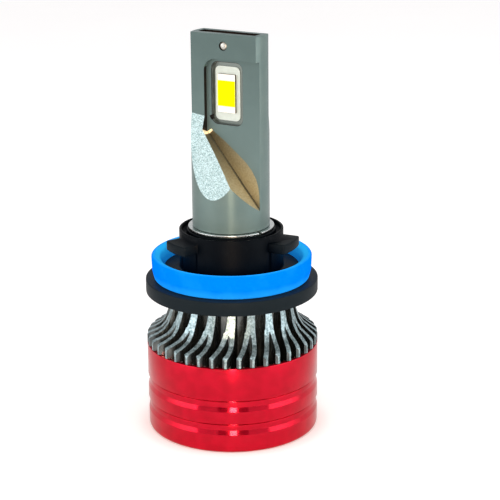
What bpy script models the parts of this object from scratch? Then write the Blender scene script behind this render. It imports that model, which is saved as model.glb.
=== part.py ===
"""LED headlight bulb with an H11 style adapter, as an assembly of separate pieces.

Frame: origin at the centre of the bottom rim, +Z up along the bulb's axis.
The two light emitting faces look along -Y (front) and +Y (back).
All driving dimensions are in millimetres; MM turns them into metres.
"""
import math

import bmesh
import bpy
from mathutils import Matrix, Vector

MM = 0.001

# ---- overall ----
TOTAL_HEIGHT = 73.3
ROUND_STEPS = 40           # sides of the large turned pieces
SMALL_STEPS = 24           # sides of the small turned pieces
TINY_STEPS = 12            # sides of screws, pins and holes
SLIP = 0.03                # gap between flat faces that rest on each other
PLAY = 0.15                # gap between a round piece and its hole
SHARP_ANGLE = 30           # edges over this many degrees stay sharp in the shading

# ---- red shell ----
SHELL_R = 15.8
SHELL_INNER_R = 15.0
SHELL_TOP = 16.1
LIP_R = 14.45              # inner radius of the inward lip at the bottom
LIP_TOP = 0.9
GROOVE_DEPTH = 0.3
GROOVE_TOPS = (10.05, 5.6)
GROOVE_FLAT = 1.3          # below a groove's top, where its floor ends
GROOVE_HEIGHT = 2.2

# ---- adapter collar ----
FLANGE_R = 15.8
FLANGE_BOTTOM = 26.15
FLANGE_TOP = 28.5
HUB_R = 12.4
HUB_TOP = 30.6
COLLAR_R = 9.5
COLLAR_TOP = 37.8
TRENCH_INNER_R = 8.1
TRENCH_OUTER_R = 9.05
TRENCH_FLOOR = 36.9
RING_SEAT_Z = 37.75
ADAPTER_BORE_R = 7.3
LUG_BOTTOM = 34.8
LUG_TOP = 36.6
LUG_R = 12.5
LUG_ROOT_R = 8.8
LUG_SIDE = 3.4             # half width of a lug with parallel sides
LUG_SLANT = (2.3, 2.7)     # the narrower side of the left lug, at the collar and outside
LUG_ANGLES = {"right": 95.4, "left": -22.6, "back": 215.4}

# ---- seal ring ----
SEAL_R = 14.7
SEAL_BOTTOM_R = 14.2
SEAL_INNER_R = 12.7
SEAL_BOTTOM = FLANGE_TOP + SLIP
SEAL_TOP = 33.0

# ---- post ----
POST_R = 7.04
POST_BOTTOM = 16.7
SPIGOT_R = 5.0
SHOULDER_Z = 26.03
WIRE_BORE_R = 2.6
WIRE_BORE_TOP = 41.2
PILOT_R = 0.4              # pilot bore above the wire bore, opened out by the slot
FLAT_N = 2.19              # distance of the outer flats from the middle plane
RECESS_N = 1.35            # distance of the recessed flats
SLOPE_Z = 63.92            # the slope: z = SLOPE_Z + SLOPE_FALL * n + SLOPE_TILT * x
SLOPE_FALL = -2.764
SLOPE_TILT = -0.129
RECESS_LEFT = -4.0
RECESS_TOP = 68.8
RECESS_CORNER_R = 2.2
WALL_SLOPE = -1.221        # the foot of the leaf's wall, on the recessed flat, falls along x
WALL_FOOT_Z = 50.47
WALL_RISE = ((-4.0, 0.42), (3.5, 0.14), (6.3, 0.2))  # how steeply the wall rises outwards, along x
LEAF_WIDTHS = ((-3.8, 0.9), (-2.0, 1.95), (1.65, 3.25), (2.7, 3.25), (3.8, 3.0), (4.7, 2.35), (5.6, 1.45),
               (6.7, 0.1))  # along x
LEAF_DEPTH = 0.3
WINDOW_X = (-2.9, 3.4)
WINDOW_Z = (57.05, 68.2)
WINDOW_CORNER_R = 1.2
SLOT_HALF_X = 5.75
SLOT_HALF_N = 0.53
SLOT_MOUTH_N = 1.05
SLOT_MOUTH_Z = 72.3
PIN_Z = 71.2
PIN_R = 0.74
RING_GROOVE_R = 6.6
RING_GROOVE_Z = (37.82, 38.38)
SEAL_GROOVE_R = 6.2
SEAL_GROOVE_Z = (31.4, 32.8)

# ---- light source ----
PLATE_HALF_X = 5.6
PLATE_HALF_N = 0.5
PLATE_Z = (41.4, 73.05)
LED_HALF_X = 2.55
LED_Z = (57.65, 67.4)
LED_N = (0.52, 0.68)
LED_CORNER_R = 0.9
EMITTER_HALF_X = 1.8
EMITTER_Z = (59.15, 66.05)
EMITTER_N = (0.7, 1.15)
PHOSPHOR_HALF_X = 1.78
PHOSPHOR_Z = (60.3, 64.9)
PHOSPHOR_N = (1.16, 1.22)

# ---- heat sink ----
SINK_TOP = 26.0
SINK_BOTTOM = 9.6
CORE_R = 9.4
FIN_R = 15.8
FIN_INSIDE_R = 14.8        # fins where they sit inside the shell
FIN_LEDGE_Z = SHELL_TOP + 0.1
FIN_SHOULDER = ((15.8, 17.6), (15.1, 18.25), (13.2, 19.5), (12.1, 21.3), (11.5, 23.4), (11.0, 26.0))
TRUNKS = 20
TRUNK_OFFSET = 31.4        # degrees from the front to the first trunk
# degrees from the trunk's middle, along the radius
TRUNK_SIDES = (((9.4, -4.57), (11.1, -4.3), (11.6, -5.3), (12.0, -6.9)),
               ((9.4, 4.57), (11.1, 3.7), (11.6, 2.9), (12.0, 2.1)))
BRANCH_WIDTH = 0.88
BRANCH_LEANS = (((12.0, -5.0), (12.4, -6.3), (13.1, -8.2), (14.25, -10.7), (15.4, -13.4), (16.1, -15.1)),
                ((12.0, -0.2), (12.4, -0.2), (13.2, -0.9), (14.1, -2.0), (14.9, -3.3), (16.1, -6.4)))
BRANCH_RADII = (12.35, 13.2, 14.3, 15.9)
CROTCH_R = 12.2            # where the two branches part
CROTCH_LEAN = -3.0
POCKET_R = 8.6
POCKET_LEDGE_Z = 11.25
POCKET_UPPER_R = 7.9
POCKET_TOP = 15.4
BOSS_R = 1.35
BOSS_TOP = 15.0
BOARD_BOSS_R = 0.9
SCREW_HOLE_TOP = 14.2
BOARD_BOSSES = ((5.6, 3.9), (-5.6, -3.9))

# ---- fan ----
GRILLE_R = 14.85
GRILLE_Z = (1.0, 1.8)
FAN_Z = (2.0, 9.2)
FAN_R = 14.7
DUCT_R = 12.2
STRUT_TOP = 2.8
MOTOR_R = 5.0
TUBE_R = 1.7
TUBE_BORE_R = 1.15
TUBE_TOP = 7.0
HUB_CUP_R = 5.6
BLADE_R = 11.9
BLADES = 7
FAN_SCREWS = (90, 210, 330)
FAN_SCREW_CIRCLE_R = 13.4
FAN_SCREW_HOLE_R = 0.7
COILS = 4

# ---- driver ----
BOARD_Z = (10.1, 11.1)
BOARD_R = 8.3

# ---- cable inlet ----
INLET_Z = 12.2
INLET_HOLE_R = 1.95
CHANNEL_HALF_X = 2.7


# ---------------------------------------------------------------- helpers
def clear_scene():
    for obj in list(bpy.data.objects):
        bpy.data.objects.remove(obj, do_unlink=True)


def make_collection(name):
    collection = bpy.data.collections.new(name)
    bpy.context.scene.collection.children.link(collection)
    return collection


def make_material(name, colour, metallic, roughness):
    material = bpy.data.materials.new(name)
    material.use_nodes = True
    shader = material.node_tree.nodes["Principled BSDF"]
    shader.inputs["Base Color"].default_value = (*colour, 1.0)
    shader.inputs["Metallic"].default_value = metallic
    shader.inputs["Roughness"].default_value = roughness
    material.diffuse_color = (*colour, 1.0)
    return material


def around(radius, degrees):
    """A point on a circle, its angle measured from the front (-Y) towards +X."""
    angle = math.radians(degrees)
    return (radius * math.sin(angle), -radius * math.cos(angle))


def arc(centre, radius, start, end, steps):
    """Points on an arc of a flat outline, its angles from the outline's own x axis."""
    points = []
    for step in range(steps + 1):
        angle = math.radians(start + (end - start) * step / steps)
        points.append((centre[0] + radius * math.cos(angle), centre[1] + radius * math.sin(angle)))
    return points


def circle(radius, steps, centre=(0.0, 0.0)):
    return arc(centre, radius, 0, 360 - 360 / steps, steps - 1)


def rounded_rectangle(x0, x1, y0, y1, radius, steps=4):
    corners = ((x1 - radius, y0 + radius, 270), (x1 - radius, y1 - radius, 0),
               (x0 + radius, y1 - radius, 90), (x0 + radius, y0 + radius, 180))
    points = []
    for x, y, start in corners:
        points += arc((x, y), radius, start, start + 90, steps)
    return points


def place(obj, name, collection, material):
    obj.name = name
    obj.data.name = name
    if material is not None:
        obj.data.materials.append(material)
    for owner in list(obj.users_collection):
        owner.objects.unlink(obj)
    collection.objects.link(obj)
    return obj


def hide_cutter(obj):
    obj.hide_render = True
    obj.display_type = "WIRE"
    return obj


def turned(name, profile, steps, material=None, closed=True):
    """A piece turned round +Z. Its profile runs down the outer side, as (radius, height)."""
    mesh = bpy.data.meshes.new(name)
    shape = bmesh.new()
    verts = [shape.verts.new((radius * MM, 0.0, height * MM)) for radius, height in profile]
    for first, second in zip(verts, verts[1:]):
        shape.edges.new((first, second))
    if closed:
        shape.edges.new((verts[-1], verts[0]))
    shape.to_mesh(mesh)
    shape.free()
    obj = bpy.data.objects.new(name, mesh)
    place(obj, name, PARTS if material else CUTTERS, material)
    screw = obj.modifiers.new("Turn", "SCREW")
    screw.steps = steps
    screw.render_steps = steps
    screw.use_merge_vertices = True
    screw.merge_threshold = 0.000001
    screw.use_smooth_shade = True
    if material is None:
        hide_cutter(obj)
    return obj


def plate(name, outlines, low, high, material=None, upright=False):
    """A flat outline with holes, made thick from low to high.

    It lies flat, with its thickness along +Z; upright, its outline is in x and z
    and its thickness runs along -Y, out of the front.
    """
    curve = bpy.data.curves.new(name, "CURVE")
    curve.dimensions = "2D"
    curve.fill_mode = "BOTH"
    curve.extrude = (high - low) / 2 * MM
    for outline in outlines:
        spline = curve.splines.new("POLY")
        spline.points.add(len(outline) - 1)
        for point, (x, y) in zip(spline.points, outline):
            point.co = (x * MM, y * MM, 0.0, 1.0)
        spline.use_cyclic_u = True
    source = bpy.data.objects.new(name + "_outline", curve)
    CUTTERS.objects.link(source)
    lift = Matrix.Translation((0.0, 0.0, (high + low) / 2 * MM))
    turn = Matrix.Rotation(math.radians(90 if upright else 0), 4, "X")
    source.matrix_world = turn @ lift
    return solid_from_curve(source, name, material)


def solid_from_curve(source, name, material=None):
    """Turn a curve object into a mesh with welded caps, and remove the curve."""
    bpy.context.view_layer.update()
    evaluated = source.evaluated_get(bpy.context.evaluated_depsgraph_get())
    mesh = bpy.data.meshes.new_from_object(evaluated)
    shape = bmesh.new()
    shape.from_mesh(mesh)
    bmesh.ops.remove_doubles(shape, verts=shape.verts, dist=0.000001)
    bmesh.ops.recalc_face_normals(shape, faces=shape.faces)
    shape.to_mesh(mesh)
    shape.free()
    obj = bpy.data.objects.new(name, mesh)
    obj.matrix_world = source.matrix_world
    bpy.data.objects.remove(source, do_unlink=True)
    place(obj, name, PARTS if material else CUTTERS, material)
    if material is None:
        hide_cutter(obj)
    return obj


def box(name, low, high, material=None, bevel=0.0):
    """A box between two corners, with its edges bevelled."""
    centre = [(a + b) / 2 * MM for a, b in zip(low, high)]
    size = [(b - a) * MM for a, b in zip(low, high)]
    mesh = bpy.data.meshes.new(name)
    shape = bmesh.new()
    bmesh.ops.create_cube(shape, size=1.0, matrix=Matrix.Diagonal((*size, 1.0)))
    shape.to_mesh(mesh)
    shape.free()
    obj = bpy.data.objects.new(name, mesh)
    obj.location = centre
    place(obj, name, PARTS if material else CUTTERS, material)
    if bevel > 0.0:
        rounding = obj.modifiers.new("Edges", "BEVEL")
        rounding.width = bevel * MM
        rounding.segments = 1
    if material is None:
        hide_cutter(obj)
    return obj


def rod(name, radius, low, high, centre=(0.0, 0.0), steps=TINY_STEPS, material=None):
    """A plain round bar along +Z at a point of the floor plan."""
    bar = turned(name, [(0.0, high), (radius, high), (radius, low), (0.0, low)], steps, material, False)
    bar.location = (centre[0] * MM, centre[1] * MM, 0.0)
    return bar


def rods(name, radius, low, high, centres, steps=TINY_STEPS):
    """Several round bars along +Z as one cutter."""
    mesh = bpy.data.meshes.new(name)
    shape = bmesh.new()
    for x, y in centres:
        middle = Matrix.Translation((x * MM, y * MM, (low + high) / 2 * MM))
        bmesh.ops.create_cone(shape, cap_ends=True, segments=steps, radius1=radius * MM, radius2=radius * MM,
                              depth=(high - low) * MM, matrix=middle @ Matrix.Rotation(0.13, 4, "Z"))
    shape.to_mesh(mesh)
    shape.free()
    return hide_cutter(place(bpy.data.objects.new(name, mesh), name, CUTTERS, None))


def combine(obj, other, operation):
    step = obj.modifiers.new(operation.title() + " " + other.name, "BOOLEAN")
    step.operation = operation
    step.object = other
    step.solver = "EXACT"


def cut(obj, *cutters):
    for cutter in cutters:
        combine(obj, cutter, "DIFFERENCE")


def join(obj, *others):
    for other in others:
        combine(obj, other, "UNION")


def half_turn(obj, name):
    """A copy of a piece turned half way round the bulb's axis, for its back."""
    copy = bpy.data.objects.new(name, obj.data)
    copy.matrix_world = Matrix.Rotation(math.pi, 4, "Z") @ obj.matrix_world
    for owner in obj.users_collection:
        owner.objects.link(copy)
    for modifier in obj.modifiers:
        twin = copy.modifiers.new(modifier.name, modifier.type)
        if modifier.type == "BEVEL":
            twin.width = modifier.width
            twin.segments = modifier.segments
    if obj.hide_render:
        hide_cutter(copy)
    return copy


def rounded_shading_group():
    """Nodes that shade every face smooth and keep the edges over SHARP_ANGLE sharp."""
    group = bpy.data.node_groups.new("rounded shading", "GeometryNodeTree")
    group.interface.new_socket("Geometry", in_out="INPUT", socket_type="NodeSocketGeometry")
    group.interface.new_socket("Geometry", in_out="OUTPUT", socket_type="NodeSocketGeometry")
    entry = group.nodes.new("NodeGroupInput")
    leave = group.nodes.new("NodeGroupOutput")
    angle = group.nodes.new("GeometryNodeInputMeshEdgeAngle")
    gentle = group.nodes.new("FunctionNodeCompare")
    gentle.data_type = "FLOAT"
    gentle.operation = "LESS_THAN"
    gentle.inputs["B"].default_value = math.radians(SHARP_ANGLE)
    faces = group.nodes.new("GeometryNodeSetShadeSmooth")
    faces.domain = "FACE"
    edges = group.nodes.new("GeometryNodeSetShadeSmooth")
    edges.domain = "EDGE"
    group.links.new(entry.outputs["Geometry"], faces.inputs["Geometry"])
    group.links.new(faces.outputs["Geometry"], edges.inputs["Geometry"])
    group.links.new(angle.outputs["Unsigned Angle"], gentle.inputs["A"])
    group.links.new(gentle.outputs["Result"], edges.inputs["Shade Smooth"])
    group.links.new(edges.outputs["Geometry"], leave.inputs["Geometry"])
    return group


def shade_round_faces(pieces):
    """Shade the round faces of all pieces smooth, after the rest of their modifiers."""
    group = rounded_shading_group()
    for piece in pieces:
        shading = piece.modifiers.new("Rounded shading", "NODES")
        shading.node_group = group


# ---------------------------------------------------------------- casing
def build_red_shell():
    outer = [(SHELL_INNER_R, SHELL_TOP), (SHELL_R - 0.2, SHELL_TOP), (SHELL_R, SHELL_TOP - 0.2)]
    for top in GROOVE_TOPS:
        outer += [(SHELL_R, top), (SHELL_R - GROOVE_DEPTH, top - 0.25),
                  (SHELL_R - GROOVE_DEPTH, top - GROOVE_FLAT), (SHELL_R, top - GROOVE_HEIGHT)]
    bottom = [(SHELL_R, 0.45), (SHELL_R - 0.12, 0.18), (SHELL_R - 0.4, 0.0), (LIP_R, 0.0),
              (LIP_R, LIP_TOP), (SHELL_INNER_R, LIP_TOP)]
    shell = turned("red_shell", outer + bottom, ROUND_STEPS, RED)
    hole = rod("inlet_hole", INLET_HOLE_R, 12.0, 18.0)
    hole.matrix_world = Matrix.Translation((0.0, 0.0, INLET_Z * MM)) @ Matrix.Rotation(-math.pi / 2, 4, "X")
    cut(shell, hole)


def build_rear_grille():
    """A thin disc with three rings of curved air slots between six spokes."""
    outlines = [circle(GRILLE_R, ROUND_STEPS)]
    rings = ((5.0, 6.7, 48), (7.6, 9.3, 51), (10.2, 11.9, 53))
    for spoke in range(6):
        for inner, outer, span in rings:
            middle = 60 * spoke + 30
            start, end = middle - span / 2, middle + span / 2
            outlines.append(arc((0, 0), outer, start, end, 4) + arc((0, 0), inner, end, start, 4))
    for angle in FAN_SCREWS:
        outlines.append(circle(FAN_SCREW_HOLE_R, 8, around(FAN_SCREW_CIRCLE_R, angle)))
    plate("rear_grille", outlines, *GRILLE_Z, DARK_STEEL)


def build_grille_screws():
    """Three screws that hold the grille and the fan to the heat sink."""
    low, head_top, tip = 0.25, GRILLE_Z[0] - SLIP, 13.6
    profile = [(0.0, tip), (0.35, tip), (0.55, tip - 0.5), (0.55, head_top), (0.95, head_top),
               (0.95, low + 0.2), (0.75, low), (0.0, low)]
    for number, angle in enumerate(FAN_SCREWS, start=1):
        screw = turned(f"grille_screw_{number}", profile, TINY_STEPS, STEEL, False)
        x, y = around(FAN_SCREW_CIRCLE_R, angle)
        screw.location = (x * MM, y * MM, 0.0)


def build_cable_grommet():
    """A rubber bush in the shell's back wall, where the supply lead goes in."""
    profile = [(0.9, 15.5), (1.6, 15.5), (INLET_HOLE_R - PLAY, 15.3), (INLET_HOLE_R - PLAY, 14.7),
               (2.35, 14.7), (2.35, 13.6), (0.9, 13.6)]
    grommet = turned("cable_grommet", profile, SMALL_STEPS, RUBBER)
    grommet.matrix_world = (Matrix.Translation((0.0, 0.0, INLET_Z * MM))
                            @ Matrix.Rotation(-math.pi / 2, 4, "X"))


# ---------------------------------------------------------------- fan
def build_fan_frame():
    low, high = FAN_Z
    ring = [(DUCT_R, high), (FAN_R - 0.2, high), (FAN_R, high - 0.2), (FAN_R, low), (DUCT_R, low)]
    frame = turned("fan_frame", ring, ROUND_STEPS, BLACK_PLASTIC)
    struts = []
    for number in range(3):
        strut = box(f"strut_{number}", (3.0, -0.7, low + 0.1), (DUCT_R + 1.0, 0.7, STRUT_TOP - 0.1))
        strut.matrix_world = Matrix.Rotation(math.radians(120 * number + 30), 4, "Z") @ Matrix.Translation(
            strut.location)
        struts.append(strut)
    motor = [(TUBE_BORE_R, TUBE_TOP), (TUBE_R, TUBE_TOP), (TUBE_R, STRUT_TOP), (MOTOR_R, STRUT_TOP),
             (MOTOR_R, low), (TUBE_BORE_R, low)]
    join(frame, turned("motor_mount", motor, SMALL_STEPS), *struts)
    cut(frame, rods("frame_holes", FAN_SCREW_HOLE_R, low - 1, high + 1, fan_screw_places()))


def fan_screw_places():
    return [around(FAN_SCREW_CIRCLE_R, angle) for angle in FAN_SCREWS]


def build_fan_motor():
    turned("fan_bearing", [(0.6, 6.9), (1.05, 6.9), (1.05, 2.5), (0.6, 2.5)], TINY_STEPS, BRONZE)
    plate("fan_board", [circle(4.8, SMALL_STEPS), circle(1.85, TINY_STEPS)], 2.95, 3.3, CIRCUIT_GREEN)
    outline = []
    for pole in range(COILS):
        middle = 90 * pole
        outline += arc((0, 0), 2.5, middle - 32, middle - 12, 2)
        outline += [around_x(3.3, 0.45, middle, -1), around_x(3.35, 1.9, middle, -1)]
        outline += arc((0, 0), 3.95, middle - 27, middle + 27, 4)
        outline += [around_x(3.35, 1.9, middle, 1), around_x(3.3, 0.45, middle, 1)]
        outline += arc((0, 0), 2.5, middle + 12, middle + 32, 2)
    plate("fan_stator", [outline, circle(1.85, TINY_STEPS)], 3.9, 6.1, STEEL)
    for pole in range(COILS):
        build_coil(pole)


def around_x(radius, offset, degrees, side):
    """A point beside an arm that runs out at an angle, on one side of it."""
    angle = math.radians(degrees)
    return (radius * math.cos(angle) - side * offset * math.sin(angle),
            radius * math.sin(angle) + side * offset * math.cos(angle))


def build_coil(pole):
    """A copper winding round one arm of the stator, between its ring and its shoe."""
    coil = box(f"fan_coil_{pole + 1}", (2.62, -0.95, 3.5), (3.18, 0.95, 6.5), COPPER)
    hole = box(f"coil_hole_{pole}", (2.0, -0.52, 3.8), (4.0, 0.52, 6.2))
    spin = Matrix.Rotation(math.radians(90 * pole), 4, "Z")
    for piece in (coil, hole):
        piece.matrix_world = spin @ Matrix.Translation(piece.location)
    cut(coil, hole)


def build_impeller():
    cup = [(0.55, 8.4), (5.2, 8.4), (HUB_CUP_R, 8.0), (HUB_CUP_R, 3.4), (5.05, 3.4), (5.05, 7.6), (1.2, 7.6),
           (1.2, 7.2), (0.55, 7.2)]
    impeller = turned("fan_impeller", cup, 30, BLACK_PLASTIC)
    mesh = bpy.data.meshes.new("blades")
    shape = bmesh.new()
    for blade in range(BLADES):
        add_blade(shape, 360 / BLADES * blade)
    shape.to_mesh(mesh)
    shape.free()
    blades = place(bpy.data.objects.new("blades", mesh), "blades", CUTTERS, None)
    thick = blades.modifiers.new("Thickness", "SOLIDIFY")
    thick.thickness = 0.45 * MM
    thick.offset = 0.0
    join(impeller, hide_cutter(blades))


def add_blade(shape, start):
    """One open, twisted blade surface; wide and flat outside, steeper at the hub."""
    radii = (5.3, 7.5, 9.7, BLADE_R)
    rows = []
    for index, radius in enumerate(radii):
        sweep = 34 + 3 * index
        row = []
        for step in range(4):
            part = step / 3
            angle = math.radians(start + 3 * index + sweep * part)
            height = 3.7 + 4.2 * part ** 1.2
            row.append(shape.verts.new((radius * math.cos(angle) * MM, radius * math.sin(angle) * MM,
                                        height * MM)))
        rows.append(row)
    for inner, outer in zip(rows, rows[1:]):
        for step in range(3):
            shape.faces.new((inner[step], outer[step], outer[step + 1], inner[step + 1]))


def build_rotor():
    turned("fan_magnet_ring", [(4.2, 6.9), (4.95, 6.9), (4.95, 3.7), (4.2, 3.7)], SMALL_STEPS, FERRITE)
    shaft = [(0.0, 8.3), (0.5, 8.3), (0.5, 2.36), (0.36, 2.36), (0.36, 2.16), (0.5, 2.16), (0.5, 2.02),
             (0.0, 2.02)]
    turned("fan_shaft", shaft, TINY_STEPS, STEEL, False)
    turned("shaft_clip", [(0.41, 2.32), (0.95, 2.32), (0.95, 2.2), (0.41, 2.2)], TINY_STEPS, STEEL)


# ---------------------------------------------------------------- driver
def build_driver():
    holes = [circle(0.7, 8, centre) for centre in BOARD_BOSSES]
    plate("driver_board", [circle(BOARD_R, SMALL_STEPS)] + holes, *BOARD_Z, CIRCUIT_GREEN)
    base = BOARD_Z[1] + SLIP
    box("driver_chip", (-3.0, -6.1, base), (0.6, -3.1, base + 1.3), BLACK_PLASTIC, 0.15)
    box("driver_inductor", (-5.7, -1.5, base), (-1.1, 3.1, base + 3.0), FERRITE, 0.4)
    can = [(0.0, base + 3.6), (1.4, base + 3.6), (1.6, base + 3.4), (1.6, base), (0.0, base)]
    for number, place_y in enumerate((1.3, -2.3), start=1):
        capacitor = turned(f"driver_capacitor_{number}", can, TINY_STEPS, STEEL, False)
        capacitor.location = (3.0 * MM, place_y * MM, 0.0)
    connector = box("lead_connector", (-1.6, 4.6, base), (1.6, 7.2, base + 2.6), WHITE_PLASTIC)
    cut(connector, box("connector_mouth", (-1.2, 5.4, base + 0.5), (1.2, 8.0, base + 2.1)))
    screw = [(0.0, 13.6), (0.45, 13.6), (0.45, BOARD_Z[0] - SLIP), (0.9, BOARD_Z[0] - SLIP),
             (0.9, 9.65), (0.0, 9.65)]
    for number, (x, y) in enumerate(BOARD_BOSSES, start=1):
        fastener = turned(f"board_screw_{number}", screw, TINY_STEPS, STEEL, False)
        fastener.location = (x * MM, y * MM, 0.0)


def build_supply_wires():
    """Two leads from the driver, up the post's bore, to the foot of the copper plate."""
    low, high = BOARD_Z[1] + SLIP, PLATE_Z[0] - 0.3
    for number, (side, material) in enumerate(((1, RED_WIRE), (-1, BLACK_WIRE)), start=1):
        curve = bpy.data.curves.new("wire", "CURVE")
        curve.dimensions = "3D"
        curve.bevel_depth = 0.5 * MM
        curve.bevel_resolution = 1
        curve.use_fill_caps = True
        spline = curve.splines.new("POLY")
        count = 9
        spline.points.add(count - 1)
        for step, point in enumerate(spline.points):
            part = step / (count - 1)
            sway = 0.25 * math.sin(part * math.tau)
            height = low + (high - low) * part
            point.co = ((0.2 + sway) * MM, side * (0.9 + sway * 0.4) * MM, height * MM, 1)
        source = bpy.data.objects.new("wire_path", curve)
        CUTTERS.objects.link(source)
        solid_from_curve(source, f"supply_wire_{number}", material)


# ---------------------------------------------------------------- heat sink
def between(table, value):
    """The second number of a table's pairs at a place between its first numbers, which rise."""
    for (low, first), (high, second) in zip(table, table[1:]):
        if value <= high:
            return first + (second - first) * max(0.0, value - low) / (high - low)
    return table[-1][1]


def branch_side(trunk, leans, radii, side):
    """Points along one side of a branch that leaves its trunk and swirls out past the sink's rim."""
    def middle(radius):
        return Vector(around(radius, trunk + between(leans, radius)))
    points = []
    for radius in radii:
        ahead = (middle(radius + 0.3) - middle(radius - 0.3)).normalized()
        across = Vector((-ahead.y, ahead.x))
        points.append(tuple(middle(radius) + across * side * BRANCH_WIDTH / 2))
    return points


def fin_outline():
    """The plan of the core and its forked, swirling fins, one closed loop."""
    outline = []
    inner = BRANCH_RADII[1:]
    left, right = BRANCH_LEANS
    for number in range(TRUNKS):
        trunk = TRUNK_OFFSET + 360 / TRUNKS * number
        low_side, high_side = [[around(radius, trunk + lean) for radius, lean in side]
                               for side in TRUNK_SIDES]
        outline += low_side
        outline += branch_side(trunk, left, BRANCH_RADII, -1)
        outline += branch_side(trunk, left, reversed(inner), 1)
        outline.append(around(CROTCH_R, trunk + CROTCH_LEAN))
        outline += branch_side(trunk, right, inner, -1)
        outline += branch_side(trunk, right, reversed(BRANCH_RADII), 1)
        outline += reversed(high_side)
        outline.append(around(CORE_R, trunk + 180 / TRUNKS))
    return outline


def build_heat_sink():
    sink = plate("heat_sink", [fin_outline()], SINK_BOTTOM - 1, SINK_TOP + 1, ALUMINIUM)
    envelope = [(SPIGOT_R + PLAY, SINK_TOP)] + list(reversed(FIN_SHOULDER))
    envelope += [(FIN_R, FIN_LEDGE_Z), (FIN_INSIDE_R, FIN_LEDGE_Z), (FIN_INSIDE_R, SINK_BOTTOM),
                 (POCKET_R, SINK_BOTTOM), (POCKET_R, POCKET_LEDGE_Z), (POCKET_UPPER_R, POCKET_LEDGE_Z),
                 (POCKET_UPPER_R, POCKET_TOP), (WIRE_BORE_R, POCKET_TOP), (WIRE_BORE_R, POST_BOTTOM - PLAY),
                 (SPIGOT_R + PLAY, POST_BOTTOM - PLAY)]
    envelope_body = turned("sink_envelope", envelope, ROUND_STEPS)
    envelope_body.rotation_euler.z = math.radians(2.3)
    combine(sink, envelope_body, "INTERSECT")
    cut(sink, box("cable_channel", (-CHANNEL_HALF_X, 13.1, SINK_BOTTOM - 1), (CHANNEL_HALF_X, 17.0, 14.9)),
        box("wire_channel", (-1.4, 7.0, SINK_BOTTOM - 1), (1.4, 14.0, 13.8)))
    join(sink, rods("fan_bosses", BOSS_R, SINK_BOTTOM + 0.1, BOSS_TOP, fan_screw_places()),
         rods("board_bosses", BOARD_BOSS_R, POCKET_LEDGE_Z + 0.05, POCKET_TOP + 0.5, BOARD_BOSSES))
    cut(sink, rods("fan_boss_holes", FAN_SCREW_HOLE_R, SINK_BOTTOM - 1, SCREW_HOLE_TOP, fan_screw_places()),
        rods("board_boss_holes", 0.6, SINK_BOTTOM - 1, SCREW_HOLE_TOP, BOARD_BOSSES, 8))


# ---------------------------------------------------------------- adapter
def lug_outline(name):
    """The plan of one lug; the left one is narrower on one side, so that the bulb fits one way round."""
    angle = LUG_ANGLES[name]
    low = high = (LUG_SIDE, LUG_SIDE)
    if name == "left":
        high = LUG_SLANT
    outer_low = math.degrees(math.asin(low[1] / LUG_R))
    outer_high = math.degrees(math.asin(high[1] / LUG_R))
    points = [(LUG_ROOT_R, -low[0])]
    points += arc((0, 0), LUG_R, -outer_low, outer_high, 5)
    points += [(LUG_ROOT_R, high[0])]
    turn = math.radians(angle - 90)
    return [(x * math.cos(turn) - y * math.sin(turn), x * math.sin(turn) + y * math.cos(turn))
            for x, y in points]


def build_adapter():
    profile = [(ADAPTER_BORE_R, RING_SEAT_Z), (TRENCH_INNER_R, RING_SEAT_Z), (TRENCH_INNER_R, TRENCH_FLOOR),
               (TRENCH_OUTER_R, TRENCH_FLOOR), (TRENCH_OUTER_R, COLLAR_TOP), (COLLAR_R - 0.12, COLLAR_TOP),
               (COLLAR_R, COLLAR_TOP - 0.15), (COLLAR_R, HUB_TOP), (HUB_R, HUB_TOP), (HUB_R, FLANGE_TOP),
               (FLANGE_R - 0.15, FLANGE_TOP), (FLANGE_R, FLANGE_TOP - 0.2), (FLANGE_R, FLANGE_BOTTOM + 0.2),
               (FLANGE_R - 0.15, FLANGE_BOTTOM), (ADAPTER_BORE_R, FLANGE_BOTTOM)]
    adapter = turned("adapter_base", profile, ROUND_STEPS, BLACK_COAT)
    for name in LUG_ANGLES:
        join(adapter, plate(f"lug_{name}", [lug_outline(name)], LUG_BOTTOM, LUG_TOP))


def build_seal_ring():
    profile = [(SEAL_INNER_R, HUB_TOP + 0.7), (SEAL_INNER_R + 0.5, SEAL_TOP - 0.5), (SEAL_R - 0.5, SEAL_TOP),
               (SEAL_R, SEAL_TOP - 0.35), (SEAL_R - 0.1, SEAL_BOTTOM + 1.6),
               (SEAL_BOTTOM_R, SEAL_BOTTOM), (SEAL_INNER_R, SEAL_BOTTOM)]
    turned("seal_ring", profile, ROUND_STEPS, BLUE)


# ---------------------------------------------------------------- post
def slope_cutter():
    """Takes the front away down to the flat, and the slope below it."""
    reach = POST_R + 3.0
    outline = [(FLAT_N, TOTAL_HEIGHT + 2)]
    outline += [(n, SLOPE_Z + SLOPE_FALL * n) for n in (FLAT_N, reach)]
    outline.append((reach, TOTAL_HEIGHT + 2))
    cutter = plate("flat_cutter", [outline], -10.0, 10.0, upright=True)
    for vert in cutter.data.vertices:
        if vert.co.y < TOTAL_HEIGHT * MM:
            vert.co.y -= SLOPE_TILT * vert.co.z
    cutter.matrix_world = Matrix.Rotation(-math.pi / 2, 4, "Z") @ cutter.matrix_world
    return cutter


def wall_foot(x):
    return WALL_SLOPE * x + WALL_FOOT_Z


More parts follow.
